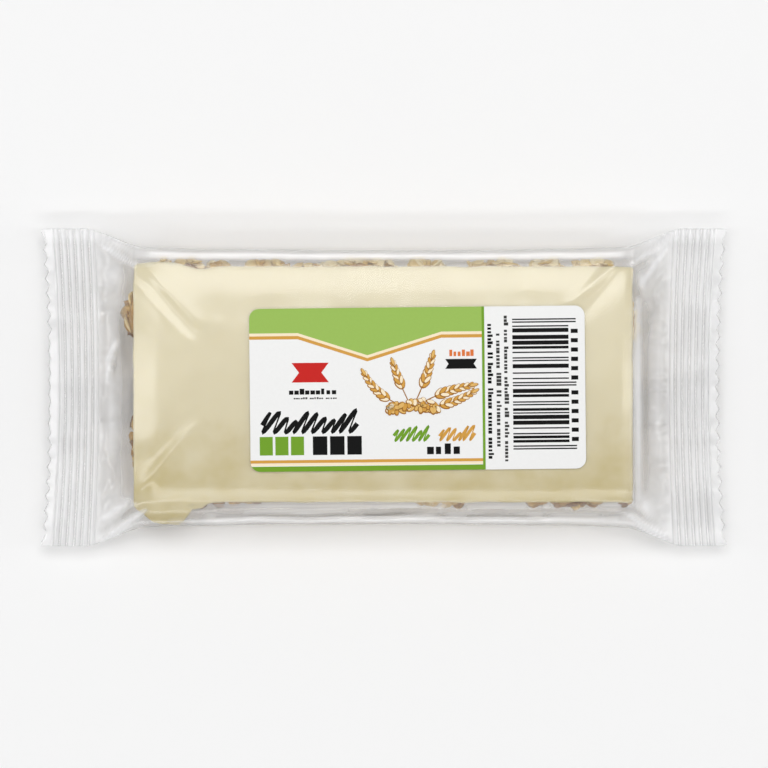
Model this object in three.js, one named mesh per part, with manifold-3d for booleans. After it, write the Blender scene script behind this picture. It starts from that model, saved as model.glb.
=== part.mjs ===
// A granola bar sealed in a clear flow-wrap pouch with a paper label on top, lying on its back.
// The pouch is one solid out to its film: drawn tight over the bar, pressed flat and crimped at
// both ends, with the film's lengthwise fin folded flat underneath.
// Millimetres, +Z up. X runs along the bar, Y across it. The origin is under the pouch's middle.
import * as THREE from "three";
import { mergeVertices } from "three/addons/utils/BufferGeometryUtils.js";
import Module from "manifold-3d";

// Driving dimensions
const bar = { length: 107.4, width: 50.4, centreY: 0.8 };
const pouch = {
  length: 148.5, // along its sides, between the lips' corners
  height: 15, // from the fin's underside to the top face
  sideReach: 29.6, // from the middle to the bulging side, halfway along the bar
  sideFlare: 0.9, // how much further it bulges beside the bar's ends
};
const seal = {
  innerX: 62.5, // where the flat crimped strip begins, at the pouch's sides
  halfAcross: 34.4,
  height: 6.4, // of the strip's middle layer above the ground
  droop: 0.9, // how far the strip's lip hangs below that
  thickness: 0.5,
  innerBow: 0.9, // how far the tight film draws the strip's middle towards the bar
  lipBow: 1.6,
};
const ribs = { count: 6, pitch: 1.58, depth: 0.36 };
const teeth = { count: 22, depth: 0.85 };
const fin = { width: 11, thickness: 0.3, centreY: -3.5, overlap: 0.2 };
const label = {
  length: 72,
  width: 35,
  cornerRadius: 2.1,
  thickness: 0.25,
  gap: 0.02, // the glue line between paper and film
  centreX: 7.2,
  centreY: -0.3,
  turnDegrees: 0.62,
};

// How finely the pouch is divided
const bodySteps = 14;
const neckSteps = 7;
const lipSteps = 2;
const acrossSteps = 12;
const sideSteps = 6;
const labelCurveSteps = 6;

const barHalf = bar.length / 2;
const pouchHalf = pouch.length / 2;
const crimpEndX = seal.innerX + ribs.count * ribs.pitch;
const trimAllowance = 0.5; // film beyond the teeth, which the saw cut takes off

const mix = (from, to, share) => from + (to - from) * share;
const clamp01 = (value) => Math.min(1, Math.max(0, value));

// Where one rib's foot, two shoulders and foot lie, as shares of the pitch, and how high each is.
const ribProfile = [
  { at: 0.1, up: 0 },
  { at: 0.36, up: 1 },
  { at: 0.64, up: 1 },
  { at: 0.9, up: 0 },
];

// Cross-sections along one half, from the middle outwards. Each has its place, how far the film
// is pressed flat there (0 over the bar, 1 in the seal) and how high it stands on a rib.
function halfStations() {
  const list = [];
  for (let i = 0; i <= bodySteps / 2; i++) {
    list.push({ x: (barHalf * i) / (bodySteps / 2), press: 0, rib: 0 });
  }
  for (let i = 1; i <= neckSteps; i++) {
    const share = i / neckSteps;
    list.push({ x: mix(barHalf, seal.innerX, share), press: share, rib: 0 });
  }
  for (let i = 0; i < ribs.count; i++) {
    for (const { at, up } of ribProfile) {
      list.push({ x: seal.innerX + (i + at) * ribs.pitch, press: 1, rib: up });
    }
  }
  for (let i = 1; i <= lipSteps; i++) {
    const x = mix(crimpEndX, pouchHalf + trimAllowance, i / lipSteps);
    list.push({ x, press: 1, rib: 0 });
  }
  return list;
}

const half = halfStations();
const stations = [
  ...half
    .slice(1)
    .reverse()
    .map((s) => ({ ...s, x: -s.x })),
  ...half,
];

// How far the film's pull moves a point at this place towards the bar.
function bowAt(x, y, press) {
  const outward = clamp01((Math.abs(x) - seal.innerX) / (pouchHalf - seal.innerX));
  const most = press < 1 ? seal.innerBow * press : mix(seal.innerBow, seal.lipBow, outward);
  return most * (1 - (y / seal.halfAcross) ** 2);
}

// Heights and widths of the pouch at one station.
function sectionAt({ x, press, rib }) {
  const away = Math.abs(x);
  const drop = seal.droop * clamp01((away - seal.innerX) / (pouchHalf - seal.innerX));
  const layer = seal.height - drop + (rib - 0.5) * ribs.depth * (press === 1 ? 1 : 0);
  const flare = pouch.sideFlare * Math.min(1, away / barHalf) ** 2;
  const slump = press ** 0.8; // the film falls steeply off the bar's end, then flattens
  return {
    top: mix(pouch.height, layer + seal.thickness / 2, slump),
    bottom: mix(fin.thickness, layer - seal.thickness / 2, slump),
    reach: mix(pouch.sideReach + flare, seal.halfAcross, press),
    flatHalf: mix(bar.width / 2, seal.halfAcross - seal.thickness / 2, press),
    flatCentre: bar.centreY * (1 - press),
  };
}

// A point of a box from -1 to 1 on every axis, moved to its place on the pouch. The box's top and
// bottom become the two films, and its long sides become the bulging folds between them.
function placeOnPouch(along, across, up) {
  const station = stations[Math.round(((along + 1) / 2) * (stations.length - 1))];
  const s = sectionAt(station);
  const onSide = Math.abs(across) > 0.999;
  const turn = (up * Math.PI) / 2;
  const middle = (s.top + s.bottom) / 2;
  const edge = s.flatCentre + across * s.flatHalf;
  const bulge = onSide ? (across * s.reach - edge) * Math.cos(turn) : 0;
  const rise = onSide ? Math.sin(turn) : up;
  const y = edge + bulge;
  const z = middle + ((s.top - s.bottom) / 2) * rise;
  const x = station.x - Math.sign(station.x) * bowAt(station.x, y, station.press);
  return [x, y, z];
}

// A point of the same kind of box, moved to the folded fin under the pouch.
function placeOnFin(along, across, up) {
  const station = stations[Math.round(((along + 1) / 2) * (stations.length - 1))];
  const { bottom } = sectionAt(station);
  const y = fin.centreY + (across * fin.width) / 2;
  const z = up > 0 ? bottom + fin.overlap : bottom - fin.thickness;
  const x = station.x - Math.sign(station.x) * bowAt(station.x, y, station.press);
  return [x, y, z];
}

function movedBox(acrossCount, upCount, place) {
  const box = new THREE.BoxGeometry(2, 2, 2, stations.length - 1, acrossCount, upCount);
  const points = box.getAttribute("position");
  for (let i = 0; i < points.count; i++) {
    points.setXYZ(i, ...place(points.getX(i), points.getY(i), points.getZ(i)));
  }
  return box;
}

const wasm = await Module();
wasm.setup();

function toSolid(geometry) {
  const bare = geometry.clone();
  bare.deleteAttribute("normal");
  bare.deleteAttribute("uv");
  const merged = mergeVertices(bare, 1e-4);
  const vertProperties = merged.getAttribute("position").array;
  const triVerts = new Uint32Array(merged.index.array);
  return new wasm.Manifold(new wasm.Mesh({ numProp: 3, vertProperties, triVerts }));
}

function toGeometry(solid) {
  const { vertProperties, triVerts } = solid.getMesh();
  const geometry = new THREE.BufferGeometry();
  geometry.setAttribute("position", new THREE.BufferAttribute(vertProperties, 3));
  geometry.setIndex(new THREE.BufferAttribute(triVerts, 1));
  geometry.computeVertexNormals();
  return geometry;
}

// The saw that trims one end: a plate whose near edge runs through the teeth. side is 1 or -1.
function sawAt(side) {
  const pitch = (2 * seal.halfAcross) / teeth.count;
  const lipX = (y) => pouchHalf - seal.lipBow * (1 - (y / seal.halfAcross) ** 2);
  const outline = new THREE.Shape();
  const beyondX = pouchHalf + 4;
  const beyondY = seal.halfAcross + 2;
  outline.moveTo(side * beyondX, -beyondY);
  outline.lineTo(side * beyondX, beyondY);
  outline.lineTo(side * (pouchHalf - teeth.depth), beyondY);
  for (let i = teeth.count; i >= 0; i--) {
    const rootY = -seal.halfAcross + i * pitch;
    outline.lineTo(side * (lipX(rootY) - teeth.depth), rootY);
    if (i > 0) {
      const tipY = rootY - pitch / 2;
      outline.lineTo(side * lipX(tipY), tipY);
    }
  }
  outline.lineTo(side * (pouchHalf - teeth.depth), -beyondY);
  return new THREE.ExtrudeGeometry(outline, { depth: pouch.height, bevelEnabled: false });
}

function makeWrapper() {
  const skin = toSolid(movedBox(acrossSteps, sideSteps, placeOnPouch));
  const folded = toSolid(movedBox(1, 1, placeOnFin));
  const trimmed = skin.add(folded).subtract(toSolid(sawAt(1))).subtract(toSolid(sawAt(-1)));
  const film = new THREE.MeshStandardMaterial({ color: "#e2e3e3", roughness: 0.2, metalness: 0 });
  const mesh = new THREE.Mesh(toGeometry(trimmed), film);
  mesh.name = "wrapper";
  return mesh;
}

function makeLabel() {
  const { length, width, cornerRadius: r } = label;
  const [right, top] = [length / 2, width / 2];
  const outline = new THREE.Shape();
  outline.moveTo(-right + r, -top);
  outline.absarc(right - r, -top + r, r, -Math.PI / 2, 0, false);
  outline.absarc(right - r, top - r, r, 0, Math.PI / 2, false);
  outline.absarc(-right + r, top - r, r, Math.PI / 2, Math.PI, false);
  outline.absarc(-right + r, -top + r, r, Math.PI, (3 * Math.PI) / 2, false);
  const cut = { depth: label.thickness, bevelEnabled: false, curveSegments: labelCurveSteps };
  const paper = new THREE.MeshStandardMaterial({ color: "#f0f0f0", roughness: 0.45, metalness: 0 });
  const mesh = new THREE.Mesh(new THREE.ExtrudeGeometry(outline, cut), paper);
  mesh.name = "label";
  mesh.position.set(label.centreX, label.centreY, pouch.height + label.gap);
  mesh.rotation.z = THREE.MathUtils.degToRad(label.turnDegrees);
  return mesh;
}

const granolaBar = new THREE.Group();
granolaBar.add(makeWrapper(), makeLabel());

export default granolaBar;
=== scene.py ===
import math
import random
from functools import partial

import bmesh
import bpy
from mathutils import Matrix, Vector, noise


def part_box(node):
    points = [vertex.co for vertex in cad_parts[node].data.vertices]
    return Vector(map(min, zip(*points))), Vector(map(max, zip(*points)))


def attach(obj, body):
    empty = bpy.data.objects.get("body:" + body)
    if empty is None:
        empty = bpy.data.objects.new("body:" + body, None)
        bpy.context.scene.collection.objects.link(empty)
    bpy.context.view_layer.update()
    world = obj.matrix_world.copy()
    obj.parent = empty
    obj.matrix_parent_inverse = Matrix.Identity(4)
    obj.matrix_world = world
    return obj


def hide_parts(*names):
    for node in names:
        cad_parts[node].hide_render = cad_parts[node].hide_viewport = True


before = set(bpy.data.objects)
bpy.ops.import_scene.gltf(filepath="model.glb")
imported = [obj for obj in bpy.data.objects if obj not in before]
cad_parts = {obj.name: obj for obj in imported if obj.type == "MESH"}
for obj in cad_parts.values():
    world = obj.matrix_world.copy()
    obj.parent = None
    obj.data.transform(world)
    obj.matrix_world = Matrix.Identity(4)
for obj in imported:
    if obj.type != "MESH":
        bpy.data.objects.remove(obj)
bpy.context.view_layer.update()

mm = 0.001  # shapes are worked out in millimetres and scaled once, when a piece is finished
pouchLow, pouchHigh = (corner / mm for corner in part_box("wrapper"))
labelLow, labelHigh = (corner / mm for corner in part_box("label"))
print("frame: pouch", [round(v, 1) for v in pouchHigh - pouchLow], "mm")


def mix(low, high, share):
    return low + (high - low) * share


def clamp01(value):
    return min(1.0, max(0.0, value))


def shareFrom(start, end, value):  # how far value has come from start to end
    return clamp01((value - start) / (end - start))


def smoothStep(start, end, value):
    share = shareFrom(start, end, value)
    return share * share * (3 - 2 * share)


def wobble(x, y, z=0.0):
    # Soft noise between about -1 and 1. The factors on its places set how long its waves are,
    # and plain numbers pick another part of it, so that no two edges waver alike.
    return noise.noise(Vector((x, y, z)))


def bell(value, middle, width):  # 1 at the middle, and softly down to 0 some widths away
    return math.exp(-(((value - middle) / width) ** 2))


def alongLine(points, at):  # the height of a line through (place, height) points
    for (x0, h0), (x1, h1) in zip(points, points[1:]):
        if x0 <= at <= x1:
            return mix(h0, h1, (at - x0) / (x1 - x0))
    return 0.0


def intoScene(name, bm, materials):
    mesh = bpy.data.meshes.new(name)
    bm.to_mesh(mesh)
    bm.free()
    for material in materials:
        mesh.materials.append(material)
    thing = bpy.data.objects.new(name, mesh)
    bpy.context.scene.collection.objects.link(thing)
    return thing


def finishPiece(name, bm, materials, stands=(), mergeGap=0.0005, smooth=True):
    bmesh.ops.remove_doubles(bm, verts=bm.verts, dist=mergeGap)
    bmesh.ops.recalc_face_normals(bm, faces=bm.faces)
    bmesh.ops.scale(bm, vec=Vector((mm, mm, mm)), verts=bm.verts)
    for face in bm.faces:
        face.smooth = smooth
    piece = intoScene(name, bm, materials)
    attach(piece, "root")
    if stands:
        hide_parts(*stands)
    print("made", name, len(piece.data.polygons), "faces")


# Materials

def toLinear(hexColour):
    channels = [int(hexColour[i : i + 2], 16) / 255 for i in (1, 3, 5)]
    return [c / 12.92 if c <= 0.04045 else ((c + 0.055) / 1.055) ** 2.4 for c in channels] + [1]


def addNode(tree, kind, inputs=None, stops=None, **settings):
    # An input is a value, a socket, or a node whose first output is used.
    node = tree.nodes.new("ShaderNode" + kind)
    for name, value in settings.items():
        setattr(node, name, value)
    for name, value in (inputs or {}).items():
        if isinstance(value, bpy.types.Node):
            value = value.outputs[0]
        if isinstance(value, bpy.types.NodeSocket):
            tree.links.new(value, node.inputs[name])
        else:
            node.inputs[name].default_value = value
    if stops:
        ramp = node.color_ramp
        while len(ramp.elements) < len(stops):
            ramp.elements.new(0.5)
        for element, (place, colour) in zip(ramp.elements, stops):
            element.position = place
            element.color = toLinear(colour) if isinstance(colour, str) else (colour,) * 3 + (1,)
    return node


def newMaterial(name):
    material = bpy.data.materials.new(name)
    material.use_nodes = True
    material.node_tree.nodes.clear()
    add = partial(addNode, material.node_tree)
    return material, add, add("TexCoord").outputs["Object"]


def fineRelief(add, place, across, deep, strength, detail):
    # Bumps of a real size, in millimetres, and the noise they are made from.
    grain = add("TexNoise", {"Vector": place, "Scale": 1 / (across * mm), "Detail": detail})
    bump = add("Bump", {"Height": grain, "Strength": strength, "Distance": deep * mm})
    return bump, grain


# Relief is the mm across and deep, the strength and the detail of a finish's fine bumps.
clearFilmLook = {
    "clear": 0.99,  # how much light goes through flat film
    "creased": 0.5,  # and through a sharp crease, dimmed with painted shade that stands in for light the crease bends away
    "haze": "#F5F5F6",
    "through": 0.12,  # how much of the haze's light comes from behind
    "faceOn": 0.042,  # how much one face reflects, seen face on
    "grazing": 0.4,  # and how much more at a grazing angle
    "grazingPower": 5.0,
    "sharp": 0.17,  # roughness of the crisp part of its shine
    "soft": 0.5,  # and of the wide, weak glow round it
    "softShare": 0.58,
    "bodyFaces": 2.2,  # a loose film has two faces that reflect
    "finFaces": 0.3,  # the fin's layers are sealed together and lie close
    "relief": (5.4, 0.03, 0.35, 2.0),
}


def clearFilm(name, faces):
    # cast polypropylene film, about 30 microns: clear and glossy, and milky where it is sealed
    look = clearFilmLook
    material, add, place = newMaterial(name)
    bump, _ = fineRelief(add, place, *look["relief"])
    facing = add("LayerWeight", {"Blend": 0.5}).outputs["Facing"]
    grazing = add("Math", {0: facing, 1: look["grazingPower"]}, operation="POWER")
    shine = add("Math", {0: grazing, 1: look["grazing"], 2: look["faceOn"]},
                operation="MULTIPLY_ADD")
    shineAll = add("Math", {0: shine, 1: faces}, operation="MULTIPLY", use_clamp=True)
    # milk holds the film's haze together with painted highlights and painted light; crease holds
    # painted shade
    milkAndPaintedLight, paintedCreaseShade = (add("Attribute", attribute_name=layer).outputs["Fac"]
                    for layer in ("milkAndPaintedLight", "paintedCreaseShade"))
    clearUnderPaintedShade = add("MapRange", {  # painted shade: steep creases are dimmed, standing in for light they bend away
        "Value": paintedCreaseShade, "To Min": look["clear"], "To Max": look["creased"]})
    clear = add("BsdfTransparent", {"Color": clearUnderPaintedShade})
    front = add("BsdfDiffuse", {"Color": toLinear(look["haze"]), "Normal": bump})
    through = add("BsdfTranslucent", {"Color": toLinear(look["haze"])})
    white = add("MixShader", {"Fac": look["through"], 1: front, 2: through})
    body = add("MixShader", {"Fac": milkAndPaintedLight, 1: clear, 2: white})
    sharp, soft = (add("BsdfGlossy", {"Roughness": look[part], "Normal": bump})
                   for part in ("sharp", "soft"))
    gloss = add("MixShader", {"Fac": look["softShare"], 1: sharp, 2: soft})
    shader = add("MixShader", {"Fac": shineAll, 1: body, 2: gloss})
    add("OutputMaterial", {"Surface": shader})
    return material


coatingLook = {
    "pale": "#E0D6B3",
    "deep": "#D8CDA8",
    # the rim colour is reached mostly through the painted shade at the near edge
    "rim": "#C1B073",
    "patch": 9.0,  # mm, of its uneven colour
    "patchShare": 0.6,
    "paintedShadeFrom": -28.6,  # mm: painted shade, a deeper and darker colour towards the near edge, on the side away from the main light
    "paintedShadeTo": 4.0,
    "paintedShadeShift": (-0.2, 0.26),  # of the colour at those two places, for the painted shade
    "roughness": 0.42, "ior": 1.46, "glow": 0.25, "glowReach": (0.9, 0.8, 0.5),
    "glowDepth": 2.0,  # mm that light goes into it
    "relief": (2.0, 0.03, 0.3, 2.0),
}


def yogurtCoating():
    # set yogurt-and-fat coating: cream, smooth, satin, slightly see-through at thin edges
    look = coatingLook
    material, add, place = newMaterial("setYogurtCoating")
    patches = add("TexNoise", {"Vector": place, "Scale": 1 / (look["patch"] * mm), "Detail": 3.0})
    apart = add("SeparateXYZ", {"Vector": place})
    # painted shade: the colour deepens and darkens towards the near edge
    paintedNearShade = add("MapRange", {
        "Value": apart.outputs["Y"], "From Min": look["paintedShadeFrom"] * mm,
        "From Max": look["paintedShadeTo"] * mm, "To Min": look["paintedShadeShift"][0], "To Max": look["paintedShadeShift"][1]})
    shade = add("Math", {0: patches, 1: look["patchShare"], 2: paintedNearShade}, operation="MULTIPLY_ADD")
    colour = add("ValToRGB", {"Fac": shade}, stops=[
        (0.05, look["rim"]), (0.36, look["deep"]), (0.7, look["pale"])])
    bump, _ = fineRelief(add, place, *look["relief"])
    shader = add("BsdfPrincipled", {
        "Base Color": colour, "Roughness": look["roughness"], "IOR": look["ior"],
        "Subsurface Weight": look["glow"], "Subsurface Radius": look["glowReach"],
        "Subsurface Scale": look["glowDepth"] * mm, "Normal": bump})
    add("OutputMaterial", {"Surface": shader})
    return material


oatLook = {
    "flake": [(0.0, "#7E5410"), (0.2, "#AC8030"), (0.4, "#CDA95C"), (0.6, "#E1C888"),
              (0.85, "#F1E1B6")],
    "binder": [(0.1, "#855A1E"), (0.4, "#B4893F"), (0.75, "#D2AF68")],
    "speck": 2.2,  # mm, of its mottled colour
    "speckShare": 0.5, "roughness": (0.4, 0.75), "ior": 1.45,
    "glaze": (0.15, 0.3),  # how much syrup shines on it, and how rough that is
    "relief": (1.05, 0.12, 0.7, 3.0),
}


def bakedOats(name, stops):  # rolled oats baked in syrup: matt flake with a thin uneven glaze
    look = oatLook
    material, add, place = newMaterial(name)
    speck = add("TexNoise", {
        "Vector": place, "Scale": 1 / (look["speck"] * mm), "Detail": 4.0, "Roughness": 0.65})
    tone = add("Attribute", attribute_name="tone").outputs["Fac"]
    shade = add("Math", {0: speck, 1: look["speckShare"], 2: tone}, operation="MULTIPLY_ADD")
    colour = add("ValToRGB", {"Fac": shade}, stops=stops)
    bump, _ = fineRelief(add, place, *look["relief"])
    dull = add("MapRange", {
        "Value": speck, "To Min": look["roughness"][0], "To Max": look["roughness"][1]})
    shader = add("BsdfPrincipled", {
        "Base Color": colour, "Roughness": dull, "IOR": look["ior"], "Normal": bump,
        "Coat Weight": look["glaze"][0], "Coat Roughness": look["glaze"][1]})
    add("OutputMaterial", {"Surface": shader})
    return material


labelLook = {
    "paper": ("#E9E9E8", 0.46, 0.5),  # its colour, its roughness and how much it shines
    "ink": (0.6, 0.12), "uneven": (0.97, 1.02), "ior": 1.5, "relief": (0.6, 0.01, 0.2, 3.0),
}


def labelPaper(name, hexColour, roughness, shine):
    # coated sticker paper and the inks printed on it: semi-gloss, with faint fibres
    look = labelLook
    material, add, place = newMaterial(name)
    bump, fibre = fineRelief(add, place, *look["relief"])
    shade = add("MapRange", {
        "Value": fibre, "To Min": look["uneven"][0], "To Max": look["uneven"][1]})
    colour = add("VectorMath", {0: toLinear(hexColour)[:3], "Scale": shade}, operation="SCALE")
    shader = add("BsdfPrincipled", {
        "Base Color": colour, "Roughness": roughness, "IOR": look["ior"], "Normal": bump,
        "Specular IOR Level": shine})
    add("OutputMaterial", {"Surface": shader})
    return material


# The bar: an oat slab under a smooth coating

bar = {
    "left": -53.9, "right": 53.5, "near": -24.75, "far": 26.0,
    "top": 14.55,  # of the coating, just under the film
    "crown": 0.85,  # how much lower its long edges lie than its middle line
    "coatBottom": 12.2, "bottom": 0.8,
    "inset": 1.3,  # how far the oat slab stays inside the coating's edge, before its flakes
}

# How wide the rounded band is along each edge and how far it falls, in millimetres, and its power
edgeBands = {"left": (6.5, 0.75, 2), "right": (4.0, 0.5, 2), "far": (6.0, 0.45, 2),
             "near": (4.3, 0.78, 1.45)}
bandWaver = {"left": 0.7, "near": 0.6}  # how much its inner edge wavers, in millimetres


def edgeFall(x, y):  # how far the bar and the tight film over it round down towards the edges
    x = min(bar["right"], max(bar["left"], x))
    y = min(bar["far"], max(bar["near"], y))
    middleY = (bar["near"] + bar["far"]) / 2
    fall = bar["crown"] * ((y - middleY) / (bar["far"] - middleY)) ** 2
    inwards = {"left": x - bar["left"] + bandWaver["left"] * wobble(y * 0.14, 21.0),
               "right": bar["right"] - x, "far": bar["far"] - y,
               "near": y - bar["near"] + bandWaver["near"] * wobble(x * 0.06, 33.0)}
    for side, (width, depth, power) in edgeBands.items():
        fall += depth * (1 - clamp01(inwards[side] / width)) ** power
    return fall


def boxGrid(low, high, cell):  # a box of square faces about one cell wide
    bm = bmesh.new()
    bmesh.ops.create_cube(bm, size=1)
    bmesh.ops.scale(bm, vec=high - low, verts=bm.verts)
    bmesh.ops.translate(bm, vec=(high + low) / 2, verts=bm.verts)
    for axis in range(3):
        cuts = max(1, round((high[axis] - low[axis]) / cell) - 1)
        running = []  # the long edges that run along this axis
        for edge in bm.edges:
            way = edge.verts[1].co - edge.verts[0].co
            if abs(way[axis]) > cell * 1.01 and way.length < abs(way[axis]) * 1.001:
                running.append(edge)
        bmesh.ops.subdivide_edges(bm, edges=running, cuts=cuts, use_grid_fill=True)
    return bm


# Where oats show past each side of the coating, as (from, to, how far out in millimetres, how
# pale). How pale is partly the oats' own tone and partly painted light and shade: the far lumps are
# made paler to lift the shade under the coating's rim, and the near ones darker, as a shaded side
oatLumps = {
    "far": [
        (-49.1, -46.2, 1.9, 0.45), (-44.8, -39.2, 1.7, 0.5), (-38.0, -33.5, 0.9, 0.35),
        (-29.2, -24.7, 1.4, 0.3), (-24.4, -21.3, 1.2, 0.2), (-20.0, -13.0, 0.6, 0.3),
        (-12.4, 2.8, 1.9, 0.5), (5.0, 12.8, 1.4, 0.45), (18.0, 28.6, 1.5, 0.5),
        (31.2, 38.5, 1.5, 0.45), (41.2, 49.8, 1.7, 0.5)],
    "near": [
        (-41.4, -36.0, 0.6, -0.15), (-36.4, -26.0, 0.2, -0.1), (7.1, 12.0, 0.8, 0.25),
        (13.2, 17.8, 1.1, 0.0), (30.6, 34.6, 1.0, -0.05), (35.4, 46.8, 1.3, 0.0),
        (50.9, 52.9, 0.7, -0.1)],
    "left": [(10.4, 20.0, 2.7, -0.1), (-17.0, -5.6, 0.9, 0.05)],
    "right": [(10.0, 17.9, 1.5, 0.4)],
}


def lumpReach(side, at):  # how far the oats stand out at this place along a side
    reach = 0.0
    for start, end, out, _ in oatLumps[side]:
        if start < at < end:
            share = (at - start) / (end - start)
            reach = max(reach, out * math.sin(math.pi * share) ** 0.5)
    return reach


slab = {
    "cell": 1.25,
    "underCoating": 0.1,  # how far it reaches up into the coating
    "rough": 0.55, "roughPitch": 0.28,
    "lumpHeight": 9.5,  # where on a side the lumps stand out most
    "lumpSpread": 3.4,
    "taper": 0.035,  # how much it narrows towards its underside
    "tone": 0.1, "toneSpread": 0.22,
}


def lumpSwell(z):  # how much of a lump's reach shows at this height
    return bell(z, slab["lumpHeight"], slab["lumpSpread"])


def tuckIn(point):  # brings a point that would poke through the film's lower half back inside
    lowest = mix(pouch["bottom"], pouch["layer"], pressAt(point.x) ** pouch["slumpUnder"])
    z = max(point.z, lowest + pouch["play"])
    middle = (pouch["top"] + pouch["bottom"]) / 2
    depth = shareFrom(middle, pouch["bottom"], z)
    edge = bar["far"] if point.y > 0 else -bar["near"]
    limit = edge + (pouch["sideReach"] - edge) * math.sqrt(1 - depth * depth) - pouch["play"]
    return Vector((point.x, min(limit, max(-limit, point.y)), z))


def makeOatSlab(material):
    inset = Vector((bar["inset"], bar["inset"], 0))
    low = Vector((bar["left"], bar["near"], bar["bottom"])) + inset
    high = Vector((bar["right"], bar["far"], bar["coatBottom"] + slab["underCoating"])) - inset
    bm = boxGrid(low, high, slab["cell"])
    tone = bm.verts.layers.float.new("tone")
    middle = (low + high) / 2
    nearly = 0.01
    bm.normal_update()
    for vert in bm.verts:
        x, y, z = vert.co
        grit = noise.fractal(vert.co * slab["roughPitch"], 0.6, 2.0, 4) * slab["rough"]
        vert.co += vert.normal * (-abs(grit) if z > high.z - nearly else grit)
        swell = lumpSwell(z)
        if y > high.y - nearly:
            vert.co.y += lumpReach("far", x) * swell
        elif y < low.y + nearly:
            vert.co.y -= lumpReach("near", x) * swell
        if x < low.x + nearly:
            vert.co.x -= lumpReach("left", y) * swell
        elif x > high.x - nearly:
            vert.co.x += lumpReach("right", y) * swell
        if z < middle.z:
            narrow = 1 - slab["taper"] * smoothStep(0.7, 1.0, (middle.z - z) / (high.z - middle.z))
            vert.co.x *= narrow
            vert.co.y = middle.y + (vert.co.y - middle.y) * narrow
        vert.co = tuckIn(vert.co)
        vert[tone] = slab["tone"] + slab["toneSpread"] * wobble(x * 0.5, y * 0.5, z * 0.5)
    finishPiece("oatSlab", bm, [material])


# A pair is a range. Lengths are in millimetres, and a shade picks one of the oats' colours.
flakes = {
    "seed": 41,
    "sides": 1000,  # how many lie on the bar's sides
    "under": 640,  # and on its underside
    "length": (3.4, 6.6),
    "sideLength": 0.9,  # as a share of that, on the sides
    "width": (0.6, 0.85),  # as a share of the length
    "thick": (0.5, 0.85), "curl": (-0.35, 0.45), "ragged": 0.28, "warp": 0.12,
    "groove": 0.26, "grooveWidth": 0.12,  # as shares of the thickness and the width
    "shade": (-0.12, 0.6),
    "tilt": 26, "underTilt": 6,  # degrees
    "heights": (1.3, 8.8),
    "out": (-0.5, 0.2),  # how far they stand out of the slab
    "edgeOn": 0.4,  # the share on the sides that lie flat, with their edges out
    "edgeOnSunk": 0.36,  # how far in those sit, as a share of their length
    "cornerGap": 3,  # how far from the bar's corners the middles stay
    "underGap": 4,
}
# And those on the lumps
lumpFlakes = {
    "perMm": 2.6, "endGap": 0.6, "length": (2.2, 4.4), "shade": (-0.3, 0.25), "tilt": 34,
    "upward": (0.2, 1.2),  # how much they face up
    "heights": {"far": (6.8, 9.8), "near": (8.6, 10.9), "left": (6.8, 8.6), "right": (6.8, 8.6)},
    "out": (0.3, 1.05), "back": {"far": 0, "near": 0.5, "left": 0.5, "right": 0},
}


def flakeBlank():  # one plain flake, copied for each and then bent to a shape of its own
    bm = bmesh.new()
    bmesh.ops.create_uvsphere(bm, u_segments=9, v_segments=4, radius=0.5)
    bm.verts.layers.float.new("tone")
    blank = bpy.data.meshes.new("flakeBlank")
    bm.to_mesh(blank)
    bm.free()
    return blank


def addFlake(bm, blank, rng, centre, outward, length, tilt, shade):
    first = len(bm.verts)
    bm.from_mesh(blank)
    bm.verts.ensure_lookup_table()
    tone = bm.verts.layers.float["tone"]
    width = length * rng.uniform(*flakes["width"])
    thick = rng.uniform(*flakes["thick"])
    curl = rng.uniform(*flakes["curl"])
    seed = rng.uniform(0, 90)
    turn = outward.to_track_quat("Z", "Y").to_matrix().to_4x4()
    lean = Matrix.Rotation(math.radians(rng.uniform(-tilt, tilt)), 4, "X")
    lean = lean @ Matrix.Rotation(math.radians(rng.uniform(-tilt, tilt)), 4, "Y")
    spin = Matrix.Rotation(rng.uniform(0, 2 * math.pi), 4, "Z")
    placed = Matrix.Translation(centre) @ turn @ lean @ spin
    for vert in bm.verts[first:]:
        x, y, z = vert.co
        ragged = 1 + flakes["ragged"] * wobble(x * 2.4 + seed, y * 2.4)
        groove = flakes["groove"] * bell(y, 0, flakes["grooveWidth"]) * (z > 0)
        warp = flakes["warp"] * wobble(seed, x * 3, y * 3)
        height = (z - groove) * thick + curl * (2 * x) ** 2 + warp
        vert.co = placed @ Vector((x * length * ragged, y * width * ragged, height))
        vert[tone] = shade


outwards = {"far": Vector((0, 1, 0)), "near": Vector((0, -1, 0)), "left": Vector((-1, 0, 0)),
            "right": Vector((1, 0, 0))}


def sidePoint(side, at, z, out):  # a point on one side of the oat slab
    away = 1 if side in ("far", "right") else -1
    reach = bar[side] + away * (out - bar["inset"] + lumpReach(side, at) * lumpSwell(z))
    return Vector((at, reach, z)) if side in ("far", "near") else Vector((reach, at, z))


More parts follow.
